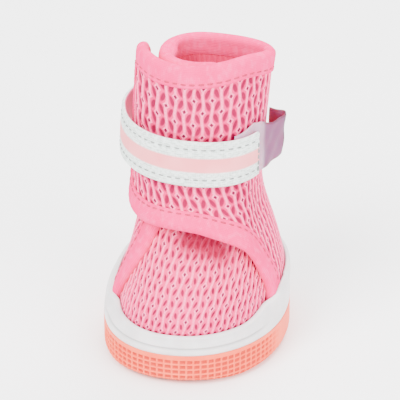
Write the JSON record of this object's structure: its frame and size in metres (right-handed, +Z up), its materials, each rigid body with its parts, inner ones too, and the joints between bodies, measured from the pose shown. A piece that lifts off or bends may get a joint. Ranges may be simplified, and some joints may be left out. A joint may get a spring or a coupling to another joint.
{
  "type": "dog boot",
  "caption": "Small dog boot with a wrapped knitted mesh upper, a strap with a soft pull tab, a moulded rubber rim and a lugged rubber sole.",
  "frame": {"origin": "on the ground under the middle of the sole", "axes": "+Z up through the collar, toe towards -Y, strap's pull tab on the +X side"},
  "size_m": [0.0433, 0.055, 0.072],
  "materials": {
    "outsole_rubber": "soft satin moulded rubber, peach",
    "rim_rubber": "smooth satin moulded rubber, off-white",
    "insole_fabric": "brushed lining cloth, pink",
    "mesh_fabric": "two-tone knitted spacer mesh with bound edges, pink",
    "strap_webbing": "flat woven strap, white with a pale pink middle",
    "tab_plastic": "soft translucent lilac plastic with a clear rim"
  },
  "bodies": {
    "root": {"outsole": "outsole_rubber", "sidewall": "rim_rubber", "insole": "insole_fabric", "upper": "mesh_fabric", "strap": "strap_webbing", "strap_tab": "tab_plastic"}
  },
  "joints": []
}
